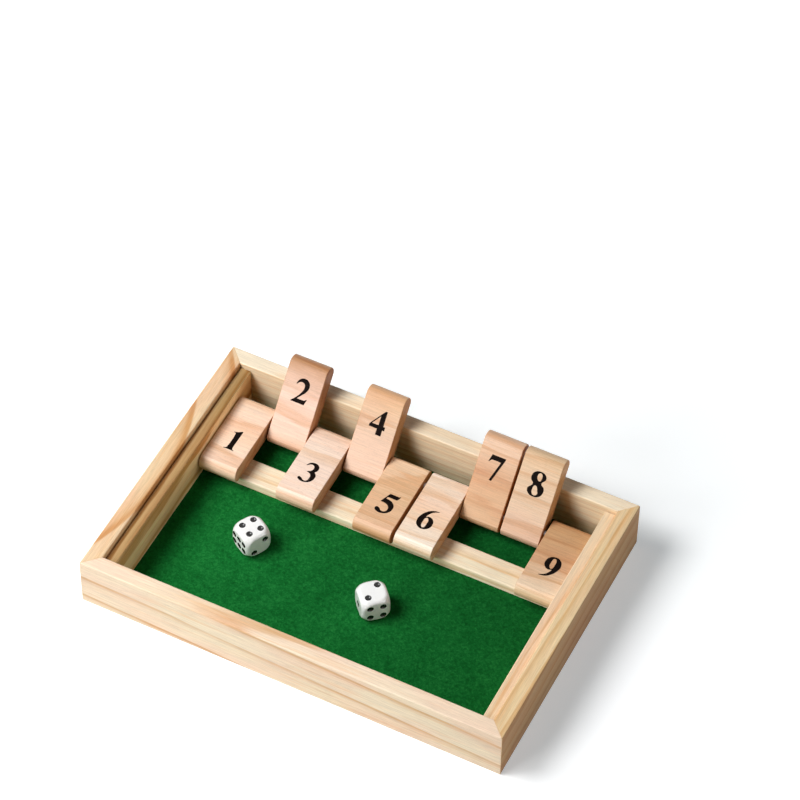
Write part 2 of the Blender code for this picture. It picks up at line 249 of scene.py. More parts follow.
woodDefaults = {
    "grain": "X",            # the direction that the piece's grain runs in
    "middle": (0, 0, 0),     # the piece's middle, where the log's own axes start
    "tilt": 0.0,             # turn of the piece about its grain, in radians
    "pith": (-45, 60),       # the log's centre, seen from the piece's middle
    "phase": 0.0,            # moves the rings outwards
    "slope": 0.0,            # how much the rings climb along the grain
    "bow": 0.0,              # bend of the rings along the grain, which draws arches
    "apex": 0.0,             # where along the grain that arch has its top
    "ringMm": 9.0,           # from one late ring to the next
    "lateShare": 0.2,        # how much of a ring is its dark edge
    "waveMm": 1.2,           # how far a ring strays from its circle
    "waveSizeMm": (70, 11),  # size of that wave, and of each pattern below, along and across the grain
    "rippleSizeMm": (22, 2.2),
    "base": "#F3DDBF",       # the wide pale part of a ring
    "bands": None,           # or tones across the grain, each with its place
    "bandStrayMm": 9.0,      # how far the borders between those tones wander
    "bandSizeMm": (16, 7),
    "lateTint": (0.84, 0.66, 0.47),
    "lateShow": 0.8,
    "lateFade": (-0.1923, 0.5769),      # noise below the first hides late wood, above the second shows it all
    "lateSizeMm": (60, 6),
    "blushTint": (1.0, 0.92, 0.93),     # pinkish clouds
    "blushSizeMm": (45, 14),
    "amberTint": (0.93, 0.68, 0.42),    # long resin-tinted streaks
    "amberShow": 0.35,
    "amberSizeMm": (38, 1.7),
    "fibreSizeMm": (9, 0.28),
    "strandSizeMm": (26, 0.8),
    "poreShow": 0.16,
    "poreSizeMm": (5.0, 0.12),
    "endTintAndPaintedLight": (0.74, 0.56, 0.40),      # end grain drinks the lacquer and turns browner; painted light and shade on top of that
    "endDull": 0.8,                     # how much of the shine it lacks
    "sidePaintedLight": (1.0, 1.0, 1.0),        # painted light and shade on the near side along the grain
    "farPaintedShade": (1.0, 1.0, 1.0),         # painted shade on the far side
    "sideDull": 0.8,                    # how much of the shine both sides lack
    "roughness": 0.42,
    "shine": 0.25,
    "seed": 0.0,
}

grainPatterns = {      # where each pattern's noise starts, its detail and its roughness
    "wave": (0.0, 2.0, 0.5),
    "ripple": (5.0, 2.0, 0.5),
    "late": (9.0, 2.0, 0.5),
    "band": (3.0, 2.0, 0.5),
    "blush": (13.0, 2.0, 0.5),
    "amber": (17.0, 3.0, 0.5),
    "fibre": (21.0, 3.0, 0.65),
    "strand": (33.0, 3.0, 0.6),
    "pore": (29.0, 1.0, 0.5),
}


def makeWood(name, **changes):
    spec = {**woodDefaults, **changes}
    material, tree = newMaterial(name)
    coords = addNode(tree, "ShaderNodeTexCoord")
    # Millimetres from the piece's middle, with X along the grain and Y across it
    turn = Euler((spec["tilt"], 0, math.radians(-90 if spec["grain"] == "Y" else 0)))
    board = addNode(tree, "ShaderNodeMapping", None,
                    {"Vector": coords.outputs["Object"], "Location": -(turn.to_matrix() @ Vector(spec["middle"])),
                     "Rotation": turn, "Scale": (1 / mm, 1 / mm, 1 / mm)})
    apart = addNode(tree, "ShaderNodeSeparateXYZ", None, {0: board.outputs[0]})
    along, across = apart.outputs[0], apart.outputs[1]

    # Every pattern is a noise drawn out along the grain
    grain = {}
    for pattern, (offset, detail, roughness) in grainPatterns.items():
        lengthMm, widthMm = spec[pattern + "SizeMm"]
        stretched = addNode(tree, "ShaderNodeMapping", None,
                            {"Vector": board.outputs[0],
                             "Location": (spec["seed"] * 3.7 + offset, spec["seed"] * 1.9, offset * 2.3),
                             "Scale": (1 / lengthMm, 1 / widthMm, 1 / widthMm)})
        grain[pattern] = addNode(tree, "ShaderNodeTexNoise", None,
                                 {"Vector": stretched.outputs[0], "Scale": 1.0, "Detail": detail,
                                  "Roughness": roughness}).outputs[0]

    # Distance from the pith, moved by the rings' slope, phase, bow and waviness
    fromPith = addNode(tree, "ShaderNodeVectorMath", {"operation": "MULTIPLY_ADD"},
                       {0: board.outputs[0], 1: (0, 1, 1), 2: (0, -spec["pith"][0], -spec["pith"][1])})
    radius = addNode(tree, "ShaderNodeVectorMath", {"operation": "LENGTH"}, {0: fromPith.outputs[0]}).outputs[1]
    broad, fine = spec["waveMm"] * 4, spec["waveMm"] * 0.8
    moves = [(along, spec["slope"]), (grain["wave"], broad), (grain["ripple"], fine),
             (1.0, spec["phase"] - (broad + fine) / 2)]    # a noise has its middle at one half
    if spec["bow"]:
        off = addNode(tree, "ShaderNodeMath", {"operation": "SUBTRACT"}, {0: along, 1: spec["apex"]}).outputs[0]
        arch = addNode(tree, "ShaderNodeMath", {"operation": "MULTIPLY"}, {0: off, 1: off}).outputs[0]
        moves.append((arch, spec["bow"]))
    for move, amount in moves:
        radius = addNode(tree, "ShaderNodeMath", {"operation": "MULTIPLY_ADD"},
                         {0: move, 1: amount, 2: radius}).outputs[0]
    rings = addNode(tree, "ShaderNodeMath", {"operation": "DIVIDE"}, {0: radius, 1: spec["ringMm"]})
    ring = addNode(tree, "ShaderNodeMath", {"operation": "FRACT"}, {0: rings.outputs[0]})

    # Dark late wood at each ring's edge, fainter in patches
    late = spec["lateShare"]
    lateWood = addNode(tree, "ShaderNodeValToRGB",
                       {"stops": [(0.0, 0.05), (late / 3, 0.0), (1 - 2 * late, 0.06), (1 - late, 0.45),
                                  (1 - late / 2, 1.0), (1 - late / 5, 0.9), (1.0, 0.05)]},
                       {0: ring.outputs[0]})
    fade = addNode(tree, "ShaderNodeMapRange", None,
                   {"Value": grain["late"], "From Min": spec["lateFade"][0],
                    "From Max": spec["lateFade"][1], "To Max": spec["lateShow"]})
    lateWood = addNode(tree, "ShaderNodeMath", {"operation": "MULTIPLY"},
                       {0: lateWood.outputs[0], 1: fade.outputs[0]}).outputs[0]

    if spec["bands"]:
        # Tones that change across the grain, with soft wavy borders
        first, last, stray = spec["bands"][0][0], spec["bands"][-1][0], spec["bandStrayMm"]
        across = addNode(tree, "ShaderNodeMath", {"operation": "MULTIPLY_ADD"},
                         {0: grain["band"], 1: stray, 2: across})
        across = addNode(tree, "ShaderNodeMapRange", None,
                         {"Value": across.outputs[0], "From Min": first + stray / 2, "From Max": last + stray / 2})
        stops = [((place - first) / (last - first), linear(shade)) for place, shade in spec["bands"]]
        colour = addNode(tree, "ShaderNodeValToRGB", {"stops": stops}, {0: across.outputs[0]}).outputs[0]
    else:
        colour = linear(spec["base"])

    # Clouds and streaks tint that colour, and so does the late wood
    clouds = addNode(tree, "ShaderNodeMapRange", None,
                     {"Value": grain["blush"], "From Min": 0.4, "From Max": 0.62}).outputs[0]
    streaks = addNode(tree, "ShaderNodeMapRange", None,
                      {"Value": grain["amber"], "From Min": 0.52, "From Max": 0.72,
                       "To Max": spec["amberShow"]}).outputs[0]
    for amount, tint in ((clouds, spec["blushTint"]), (streaks, spec["amberTint"]), (lateWood, spec["lateTint"])):
        colour = addNode(tree, "ShaderNodeMix", {"data_type": "RGBA", "blend_type": "MULTIPLY"},
                         {0: amount, 6: colour, 7: (*tint, 1.0)}).outputs[2]

    # Fibres, strands and pores, lighter and darker hairlines along the grain
    shade = addNode(tree, "ShaderNodeMapRange", None,
                    {"Value": grain["fibre"], "From Min": 0.3, "From Max": 0.7,
                     "To Min": 0.87, "To Max": 1.07}).outputs[0]
    strands = addNode(tree, "ShaderNodeMapRange", None,
                      {"Value": grain["strand"], "From Min": 0.35, "From Max": 0.65,
                       "To Min": 0.93, "To Max": 1.05}).outputs[0]
    pores = addNode(tree, "ShaderNodeMapRange", None,
                    {"Value": grain["pore"], "From Min": 0.60, "From Max": 0.72,
                     "To Min": 1.0, "To Max": 1 - spec["poreShow"]}).outputs[0]
    for hairlines in (strands, pores):
        shade = addNode(tree, "ShaderNodeMath", {"operation": "MULTIPLY"}, {0: shade, 1: hairlines}).outputs[0]
    colour = addNode(tree, "ShaderNodeVectorMath", {"operation": "SCALE"}, {0: colour, "Scale": shade}).outputs[0]

    # End grain, where the surface faces along the grain, then the near and the far side beside it, with their painted
    # light and shade
    facing = addNode(tree, "ShaderNodeMapping", {"vector_type": "NORMAL"},
                     {"Vector": coords.outputs["Normal"], "Rotation": turn})
    facing = addNode(tree, "ShaderNodeSeparateXYZ", None, {0: facing.outputs[0]})
    ends = addNode(tree, "ShaderNodeMath", {"operation": "ABSOLUTE"}, {0: facing.outputs[0]})
    shine = spec["shine"]
    for faced, way, tint, dull in ((ends.outputs[0], 1, spec["endTintAndPaintedLight"], spec["endDull"]),
                                   (facing.outputs[1], -1, spec["sidePaintedLight"], spec["sideDull"]),
                                   (facing.outputs[1], 1, spec["farPaintedShade"], spec["sideDull"])):
        amount = addNode(tree, "ShaderNodeMapRange", None,
                         {"Value": faced, "From Min": 0.6 * way, "From Max": 0.95 * way}).outputs[0]
        colour = addNode(tree, "ShaderNodeMix", {"data_type": "RGBA", "blend_type": "MULTIPLY"},
                         {0: amount, 6: colour, 7: (*tint, 1.0)}).outputs[2]
        shine = addNode(tree, "ShaderNodeMath", {"operation": "MULTIPLY_ADD"},
                        {0: amount, 1: -dull * spec["shine"], 2: shine}).outputs[0]

    # The fibres also vary the gloss, and every part of the grain stands in slight relief
    rough = addNode(tree, "ShaderNodeMapRange", None,
                    {"Value": grain["fibre"], "To Min": spec["roughness"] - 0.08,
                     "To Max": spec["roughness"] + 0.10}).outputs[0]
    relief = 0.0
    for part, height in ((grain["fibre"], 0.8), (lateWood, 0.6), (pores, 0.8)):
        relief = addNode(tree, "ShaderNodeMath", {"operation": "MULTIPLY_ADD"},
                         {0: part, 1: height, 2: relief}).outputs[0]
    bump = addNode(tree, "ShaderNodeBump", None, {"Strength": 0.35, "Distance": 0.06 * mm, "Height": relief})
    finish = addNode(tree, "ShaderNodeBsdfPrincipled", None,
                     {"Base Color": colour, "Roughness": rough, "IOR": 1.5, "Specular IOR Level": shine,
                      "Normal": bump.outputs[0]})
    addNode(tree, "ShaderNodeOutputMaterial", None, {"Surface": finish.outputs[0]})
    return material


def dressNode(name, material):
    piece = nodes[name]
    piece.data.materials.clear()
    piece.data.materials.append(material)


def middleMm(name):
    low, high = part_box(name)
    return (low + high) / 2 / mm


# Frame, strips and ledge: planed pine under a thin clear lacquer, pale with soft amber rings

pineCuts = {
    # Its side tint paints shade on the outer front face
    "front_rail": dict(pith=(27.8, -80.5), phase=1.5, slope=0.047, ringMm=12.5, lateShare=0.15, waveMm=0.7,
                       base="#F7E3C8", lateTint=(0.80, 0.62, 0.44), lateShow=1.0, amberShow=0.4,
                       sidePaintedLight=(0.92, 0.96, 0.95), seed=1.0),
    # Its side tint paints shade on the inner face, and its far tint paints warmer shade on the outer back face
    "back_rail": dict(pith=(-12, -60), slope=-0.012, ringMm=4.2, lateShare=0.3, waveMm=0.7, base="#FAEBD0",
                      lateShow=0.5, blushTint=(1.0, 0.98, 0.98), amberShow=0.25,
                      sidePaintedLight=(0.95, 0.90, 0.83), farPaintedShade=(0.95, 0.86, 0.74), shine=0.5, seed=2.3),
    # Its side tint paints light on the inner face above the strip
    "left_rail": dict(grain="Y", pith=(60, 15), phase=13.2, bow=0.004, apex=-13, ringMm=20.0, lateShare=0.21,
                      lateTint=(0.76, 0.53, 0.33), waveMm=0.6, base="#ECD0A9", lateShow=1.1, amberShow=0.4,
                      sidePaintedLight=(1.2, 1.1, 0.95), seed=3.1),
    # Its side tint paints shade on the outer right face
    "right_rail": dict(grain="Y", pith=(-50, 30), slope=0.03, ringMm=5.4, lateShare=0.34, waveMm=0.8,
                       base="#EED5A9", sidePaintedLight=(0.57, 0.46, 0.38), seed=4.7),
    # Its dark base paints the left rail's shade on the strip's top over its own wood tone, and its side tint paints
    # light on the strip's inner wall
    "left_strip": dict(grain="Y", pith=(45, 20), slope=0.02, ringMm=5.6, lateShare=0.45, base="#BA9C6B",
                       lateTint=(0.62, 0.45, 0.27), lateShow=1.1, sidePaintedLight=(2.2, 2.4, 2.9), seed=5.9),
    "right_strip": dict(grain="Y", pith=(40, -25), slope=-0.02, ringMm=5.0, base="#F4DCB9", lateShow=0.7,
                        amberShow=0.5, seed=6.2),
    # Its side tint paints light on the ledge's front face
    "tile_ledge": dict(pith=(30, 35), slope=0.015, ringMm=6.5, base="#F4E7CA", amberShow=0.45,
                       lateTint=(0.86, 0.70, 0.50), sidePaintedLight=(1.12, 1.13, 1.13), seed=7.4),
}


def dressFrame():
    for name, cut in pineCuts.items():
        material = makeWood("lacquered pine, " + name.replace("_", " "), middle=middleMm(name), **cut)
        dressNode(name, material)
    print("frame dressed")


mitre = {
    "gapMm": 0.3,
    "endMm": (0.2, 11.1),      # along the joint, from the outer corner
    "rebateMm": (5.4, 3.9),    # how far in and how high the rails' rebate starts
    "heightMm": (0.3, 27.93),
    "easeMm": 0.5,
}


def makeGlueMaterial():
    # Wood glue mixed with saw dust: pale tan and dull, a little darker where it stands thick
    material, tree = newMaterial("wood glue and saw dust")
    coords = addNode(tree, "ShaderNodeTexCoord")
    dust = addNode(tree, "ShaderNodeTexNoise", None,
                   {"Vector": coords.outputs["Object"], "Scale": 2.5 / mm, "Detail": 4.0, "Roughness": 0.7})
    colour = addNode(tree, "ShaderNodeValToRGB",
                     {"stops": [(0.35, linear("#D9B588")), (0.65, linear("#ECD0A8"))]}, {0: dust.outputs[0]})
    rough = addNode(tree, "ShaderNodeMapRange", None, {"Value": dust.outputs[0], "To Min": 0.6, "To Max": 0.85})
    bump = addNode(tree, "ShaderNodeBump", None,
                   {"Strength": 0.3, "Distance": 0.03 * mm, "Height": dust.outputs[0]})
    finish = addNode(tree, "ShaderNodeBsdfPrincipled", None,
                     {"Base Color": colour.outputs[0], "Roughness": rough.outputs[0], "IOR": 1.46,
                      "Normal": bump.outputs[0]})
    addNode(tree, "ShaderNodeOutputMaterial", None, {"Surface": finish.outputs[0]})
    return material


def makeMitres():
    # The glue that fills each mitred corner, as one thin upright slab along its joint
    glue = makeGlueMaterial()
    (start, end), (foot, top), (inset, step) = mitre["endMm"], mitre["heightMm"], mitre["rebateMm"]
    ease = mitre["easeMm"]
    outline = [(start, foot), (inset, foot), (inset, step), (end, step), (end, top - ease / 2),
               (end - ease, top), (start + ease * 1.6, top), (start, top - ease * 1.2)]
    low, high = cadBox[0], Vector((cadBox[1].x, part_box("back_rail")[1].y, 0))
    for index, (x, y) in enumerate(((low.x, low.y), (high.x, low.y), (high.x, high.y), (low.x, high.y))):
        inward = Vector((-math.copysign(1, x), -math.copysign(1, y), 0)).normalized()
        beside = Vector((-inward.y, inward.x, 0)) * mitre["gapMm"] / 2 * mm
        bm = bmesh.new()
        rings = []
        for side in (-1, 1):
            rings.append([bm.verts.new(Vector((x, y, z * mm)) + inward * along * mm + beside * side)
                          for along, z in outline])
        bridgeRings(bm, rings)
        bm.faces.new(rings[0])
        bm.faces.new(rings[1][::-1])
        bmesh.ops.recalc_face_normals(bm, faces=bm.faces[:])
        addPiece(f"mitre_glue_{index + 1}", bm, glue, "box")
    print("mitres glued")


# Number tiles: sanded beech, cut across one long moulding, so the grain runs across each tile

tile = {
    "reach": 36.99 * mm,       # from the rod to the free end
    "heel": 7.99 * mm,         # from the rod to the hinge end
    "thick": 9.2 * mm,
    "noseRise": 2.9 * mm,      # the ends are arcs that meet both faces at a crisp fold
    "edgeRadius": 0.4 * mm,
    "boreRadius": 1.65 * mm,
    "boreChamfer": 0.25 * mm,
    "arcSteps": 24,
    "edgeSteps": 5,
    "boreSides": 40,
    "sharpDeg": 22,
    "flatWeight": 80,          # how strongly the wide faces pull the normals beside them
    "tiltSlack": 0.01 * mm,
    "woodMiddle": -14 * mm,    # where the log's own axes start, from the rod
    "tonePlacesMm": (-20, -3, 17),
}

tileTones = {      # the wood's tone at the free end, in the middle and by the rod
    1: ("#F9E2CE", "#F8D4B6", "#F8DEC8"),
    2: ("#BA8A60", "#EFCDB9", "#EFCBB3"),
    3: ("#F8E0CC", "#F5E0CE", "#F4DAC6"),
    4: ("#DAAC80", "#DEBDA0", "#EECCB2"),
    5: ("#E4BC98", "#E2BA92", "#F0D0AC"),
    6: ("#FCECDA", "#F2D0B0", "#FEEEDE"),
    7: ("#E8C8AA", "#D2A177", "#DCB28A"),
    8: ("#DEBE98", "#DEBE9E", "#DEBEA2"),
    9: ("#EFD7BA", "#D2A880", "#C69A6C"),
}

beechCut = dict(lateShare=0.24, waveMm=1.7, lateTint=(0.82, 0.66, 0.50), blushTint=(1.0, 0.95, 0.95),
                amberTint=(0.94, 0.80, 0.66), amberShow=0.5, poreShow=0.2, poreSizeMm=(1.6, 0.16),
                shine=0.5, sideDull=0.0)
# Painted light and shade: lowered tiles get darker end and side tints, raised tiles lighter ones
beechPaintedLight = {
    "lowered": dict(endTintAndPaintedLight=(0.66, 0.50, 0.34), sidePaintedLight=(0.94, 0.87, 0.74)),
    "raised": dict(endTintAndPaintedLight=(0.84, 0.65, 0.44), sidePaintedLight=(1.0, 1.02, 1.02)),
}


def profileRing(bm, x, inset):
    # The tile's outline, seen along the rod, drawn in by inset
    half = tile["thick"] / 2
    radius = (half * half + tile["noseRise"] ** 2) / (2 * tile["noseRise"])
    swing = math.asin((half - inset) / (radius - inset))
    ring = []
    for middle, way in ((tile["heel"] - radius, 1), (radius - tile["reach"], -1)):
        for step in range(tile["arcSteps"] + 1):
            turn = swing * (2 * step / tile["arcSteps"] - 1)
            ring.append(bm.verts.new((x, middle + way * (radius - inset) * math.cos(turn),
                                      way * (radius - inset) * math.sin(turn))))
    return ring


def boreRing(bm, x, radius):
    turns = [2 * math.pi * i / tile["boreSides"] for i in range(tile["boreSides"])]
    return [bm.verts.new((x, radius * math.cos(a), radius * math.sin(a))) for a in turns]


def tileShape(halfWidth):
    bm = bmesh.new()
    rounding = []
    for step in range(tile["edgeSteps"] + 1):
        turn = math.radians(90 * step / tile["edgeSteps"])
        rounding.append((halfWidth - tile["edgeRadius"] * (1 - math.sin(turn)),
                         tile["edgeRadius"] * (1 - math.cos(turn))))
    outer = [profileRing(bm, -x, inset) for x, inset in reversed(rounding)]
    outer += [profileRing(bm, x, inset) for x, inset in rounding]
    bridgeRings(bm, outer)
    chamfer = tile["boreChamfer"]
    wide = tile["boreRadius"] + chamfer
    bore = [boreRing(bm, -halfWidth, wide), boreRing(bm, chamfer - halfWidth, tile["boreRadius"]),
            boreRing(bm, halfWidth - chamfer, tile["boreRadius"]), boreRing(bm, halfWidth, wide)]
    bridgeRings(bm, bore)
    for edge, hole in ((outer[0], bore[0]), (outer[-1], bore[-1])):
        rims = [bm.edges.get((ring[i], ring[i - 1])) for ring in (edge, hole) for i in range(len(ring))]
        bmesh.ops.triangle_fill(bm, edges=rims, use_beauty=True)
    bmesh.ops.recalc_face_normals(bm, faces=bm.faces[:])
    return bm


def evenNormals(piece):
    # Keeps wide flats flat beside their rounded edges
    weighted = piece.modifiers.new("even normals", "WEIGHTED_NORMAL")
    weighted.keep_sharp = True
    weighted.weight = tile["flatWeight"]


def tiltOf(node, axis):
    # A tile's tilt at rest, read off the far end of its solid
    arms = [Vector((v.co.y - axis.y, v.co.z - axis.z)) for v in nodes[node].data.vertices]
    farthest = max(arm.length for arm in arms)
    turns = [math.atan2(arm.y, -arm.x) for arm in arms if arm.length > farthest - tile["tiltSlack"]]
    return (min(turns) + max(turns)) / 2


# Printed numbers: a bold book face, 12.3 mm high, in black ink on both faces of each tile.
# Each outline is listed from its first corner round, in millimetres; c is a corner and s
# a smooth point.

figures = {
    1: [[("c", -2.5, 0), ("s", 0.2, 0.12), ("c", 2.9, 0), ("c", 2.85, 0.35), ("s", 1.95, 0.75), ("s", 1.7, 2.0),
         ("s", 1.72, 7.0), ("c", 1.85, 12.3), ("c", 1.35, 12.3), ("s", -0.3, 11.35), ("c", -2.2, 10.75),
         ("c", -2.15, 10.4), ("s", -1.3, 10.3), ("s", -1.05, 9.3), ("s", -1.1, 2.0), ("s", -1.4, 0.75),
         ("c", -2.5, 0.35)]],
    2: [[("c", -3.8, 0), ("c", 3.3, 0), ("c", 4.1, 2.95), ("c", 3.7, 2.95), ("s", 3.0, 2.3), ("s", 1.6, 2.1),
         ("c", -1.0, 2.1), ("s", 0.9, 4.2), ("s", 2.8, 6.6), ("s", 3.55, 9.1), ("s", 2.6, 11.5), ("s", 0.1, 12.4),
         ("s", -2.2, 11.3), ("c", -3.4, 8.95), ("c", -3.0, 8.75), ("s", -2.0, 9.9), ("s", -0.6, 10.35),
         ("s", 0.8, 9.7), ("s", 1.2, 8.0), ("s", 0.3, 5.4), ("s", -1.7, 2.5), ("c", -3.8, 0.3)]],
    3: [[("c", -3.3, 9.75), ("s", -2.1, 11.6), ("s", 0.1, 12.4), ("s", 2.5, 11.5), ("s", 3.3, 9.5), ("c", 2.3, 7.25),
         ("s", 3.5, 6.0), ("s", 3.85, 4.1), ("s", 2.8, 1.5), ("s", 0.1, 0.05), ("s", -2.3, 0.25), ("s", -3.75, 1.25),
         ("s", -3.35, 2.25), ("s", -2.2, 2.0), ("s", -0.5, 0.95), ("s", 0.95, 1.4), ("s", 1.45, 3.4), ("s", 0.9, 5.4),
         ("c", -1.3, 6.35), ("c", -1.25, 6.65), ("s", 0.4, 7.6), ("s", 0.9, 9.2), ("s", 0.2, 10.7), ("s", -1.3, 10.9),
         ("c", -3.0, 9.6)]],
    4: [[("c", 2.35, 12.3), ("c", 3.3, 12.3), ("c", 3.3, 4.85), ("c", 4.3, 4.85), ("c", 4.3, 3.0), ("c", 3.3, 3.0),
         ("c", 3.3, 0), ("c", 0.45, 0), ("c", 0.45, 3.0), ("c", -3.85, 3.0), ("c", -3.85, 4.2)],
        [("c", 0.75, 9.3), ("c", -2.6, 4.85), ("c", 0.75, 4.85)]],
    5: [[("c", -0.75, 12.1), ("c", 4.0, 12.1), ("c", 4.4, 12.4), ("c", 4.75, 12.3), ("s", 4.1, 10.4), ("c", 3.6, 9.9),
         ("c", -0.9, 9.9), ("c", -1.35, 8.9), ("s", 1.3, 8.35), ("s", 3.4, 6.9), ("s", 4.2, 4.5), ("s", 3.2, 1.7),
         ("s", 0.2, 0.05), ("s", -2.4, 0.25), ("s", -3.8, 1.5), ("s", -3.4, 2.75), ("s", -2.2, 2.6),
         ("s", -0.4, 1.35), ("s", 1.2, 1.5), ("s", 2.1, 3.3), ("s", 1.3, 5.1), ("s", -0.7, 6.15), ("c", -3.1, 6.3)]],
    6: [[("c", 3.6, 12.4), ("s", 0.5, 11.8), ("s", -2.2, 9.6), ("s", -3.9, 6.3), ("s", -4.1, 3.6), ("s", -2.9, 1.1),
         ("s", -0.2, 0), ("s", 2.6, 1.1), ("s", 3.75, 3.9), ("s", 2.9, 6.7), ("s", 0.9, 7.8), ("c", -1.1, 7.3),
         ("s", -0.2, 9.3), ("s", 1.1, 10.9), ("c", 3.6, 12.1)],
        [("s", -0.35, 6.9), ("s", -1.25, 4.3), ("s", -0.75, 1.5), ("s", 0.15, 0.9), ("s", 1.05, 3.6),
         ("s", 0.6, 6.3)]],
    7: [[("c", -3.5, 12.3), ("c", 3.5, 12.3), ("c", 3.5, 11.6), ("c", -0.3, 0), ("c", -1.6, 0), ("c", 1.6, 9.8),
         ("s", -1.6, 9.9), ("s", -3.1, 9.7), ("c", -4.2, 8.5), ("c", -4.5, 8.6)]],
    8: [[("s", 0.2, 12.5), ("s", 2.9, 11.7), ("s", 3.75, 9.8), ("s", 2.2, 7.1), ("s", 3.9, 5.4), ("s", 4.2, 3.4),
         ("s", 2.9, 0.9), ("s", 0.1, 0), ("s", -2.7, 0.8), ("s", -3.8, 2.9), ("s", -1.9, 6.0), ("s", -3.2, 7.6),
         ("s", -3.5, 9.6), ("s", -2.5, 11.6)],
        [("s", 0.35, 11.8), ("s", -0.75, 10.4), ("s", 0.9, 7.9), ("s", 1.65, 9.8), ("s", 1.3, 11.3)],
        [("s", -0.4, 5.4), ("s", -1.4, 3.2), ("s", -0.9, 1.3), ("s", 0.2, 0.7), ("s", 1.5, 1.6), ("s", 1.3, 3.3)]],
}
figureHeightMm = 12.3
figures[9] = [[(kind, -x, figureHeightMm - y) for kind, x, y in outline] for outline in figures[6]]

printing = {
    "lineMm": 16.0,        # from the free end to the middle of a number
    "filmMm": 0.03,
    "curveSteps": 10,
    "weldMm": 0.001,
    "placesMm": {          # where each number landed, right of the tile's middle and back from that line
        1: (0.0, 1.6), 2: (-0.1, 1.0), 3: (-0.1, 0.3), 4: (-0.1, 0.6), 5: (0.0, 0.3),
        6: (-0.2, 0.6), 7: (-0.1, 0.3), 8: (0.0, 0.7), 9: (0.7, 1.4)},
}


def makeInk():
    # Screen-printed black enamel: dense and slightly satin, thinner in streaks of 8 by 0.5 mm
    material, tree = newMaterial("screen printed black enamel")
    coords = addNode(tree, "ShaderNodeTexCoord")
    grain = addNode(tree, "ShaderNodeMapping", None,
                    {"Vector": coords.outputs["Object"], "Scale": (0.12 / mm, 2.2 / mm, 2.2 / mm)})
    streak = addNode(tree, "ShaderNodeTexNoise", None, {"Vector": grain.outputs[0], "Scale": 1.0, "Detail": 3.0})
    colour = addNode(tree, "ShaderNodeValToRGB",
                     {"stops": [(0.35, linear("#0C0706")), (0.62, linear("#150D0A")), (0.80, linear("#2C1C13"))]},
                     {0: streak.outputs[0]})
    rough = addNode(tree, "ShaderNodeMapRange", None, {"Value": streak.outputs[0], "To Min": 0.42, "To Max": 0.62})
    bump = addNode(tree, "ShaderNodeBump", None,
                   {"Strength": 0.2, "Distance": 0.02 * mm, "Height": streak.outputs[0]})
    finish = addNode(tree, "ShaderNodeBsdfPrincipled", None,
                     {"Base Color": colour.outputs[0], "Roughness": rough.outputs[0], "IOR": 1.5,
                      "Specular IOR Level": 0.03, "Normal": bump.outputs[0]})
    addNode(tree, "ShaderNodeOutputMaterial", None, {"Surface": finish.outputs[0]})
    return material


def figureMesh(number):
    # A filled outline with its holes, as thick as the ink film
    curve = bpy.data.curves.new("figure", "CURVE")
    curve.dimensions = "2D"
    curve.fill_mode = "BOTH"
    curve.extrude = printing["filmMm"] / 2
    curve.resolution_u = printing["curveSteps"]
    for outline in figures[number]:
        spline = curve.splines.new("BEZIER")
        spline.bezier_points.add(len(outline) - 1)
        spline.use_cyclic_u = True
        for point, (kind, x, y) in zip(spline.bezier_points, outline):
            point.co = (x, y - figureHeightMm / 2, 0)
            point.handle_left_type = point.handle_right_type = "AUTO" if kind == "s" else "VECTOR"
    holder = bpy.data.objects.new("figure", curve)
    bpy.context.scene.collection.objects.link(holder)
    bpy.context.view_layer.update()
    flat = holder.evaluated_get(bpy.context.evaluated_depsgraph_get()).to_mesh()
    bm = bmesh.new()
    bm.from_mesh(flat)
    bpy.data.objects.remove(holder)
    bpy.data.curves.remove(curve)
    bmesh.ops.remove_doubles(bm, verts=bm.verts[:], dist=printing["weldMm"])
    bmesh.ops.recalc_face_normals(bm, faces=bm.faces[:])
    return bm


def printNumber(number, body, place, ink):
    right, back = printing["placesMm"][number]
    top = tile["thick"] / 2 / mm + printing["filmMm"] / 2
    line = printing["lineMm"] - tile["reach"] / mm
    front = Matrix.Translation((right, line + back, top))
    # On the other face the number stands on its head, so it reads upright when the tile is up
    rear = Matrix.Rotation(math.pi, 4, "X") @ Matrix.Translation((right, -line + back, top))
    both = bmesh.new()
    for side in (front, rear):
        one = figureMesh(number)
        one.transform(Matrix.Scale(mm, 4) @ side)
        mesh = bpy.data.meshes.new("side")
        one.to_mesh(mesh)
        one.free()
        both.from_mesh(mesh)
        bpy.data.meshes.remove(mesh)
    addPiece(f"printed_number_{number}", both, ink, body, place)


def makeTiles():
    ink = makeInk()
    for joint in frame["joints"]:
        if joint["type"] != "hinge":
            continue
        body = joint["child"]
        number = int(body.split("_")[1])
        node = f"number_tile_{number}"
        low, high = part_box(node)
        axis = Vector(joint["pos_m"])
        axis.x = (low.x + high.x) / 2
        tilt = tiltOf(node, axis)
        place = Matrix.Translation(axis) @ Matrix.Rotation(-tilt, 4, "X")
        # Each tile has its own stretch of the wood
        # Each tile takes the painted light and shade of its pose
        edges = beechPaintedLight["lowered" if abs(tilt) < math.pi / 2 else "raised"]
        material = makeWood(f"sanded beech, tile {number}", pith=(-30 + 7 * number, 55 - 4 * number),
                            middle=place @ Vector((0, tile["woodMiddle"], 0)) / mm, tilt=tilt,
                            slope=0.03 * math.sin(number * 2.1), ringMm=6.6 + 1.4 * math.sin(number * 1.7),
                            bands=list(zip(tile["tonePlacesMm"], tileTones[number])), seed=10 + 3.3 * number,
                            **beechCut, **edges)
        shape = tileShape((high.x - low.x) / 2)
        piece = addPiece(f"beech_tile_{number}", shape, material, body, place, tile["sharpDeg"])
        evenNormals(piece)
        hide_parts(node)
        printNumber(number, body, place, ink)
    print("nine tiles cut and printed")


# Dice: polished white urea plastic with black enamel in drilled pips

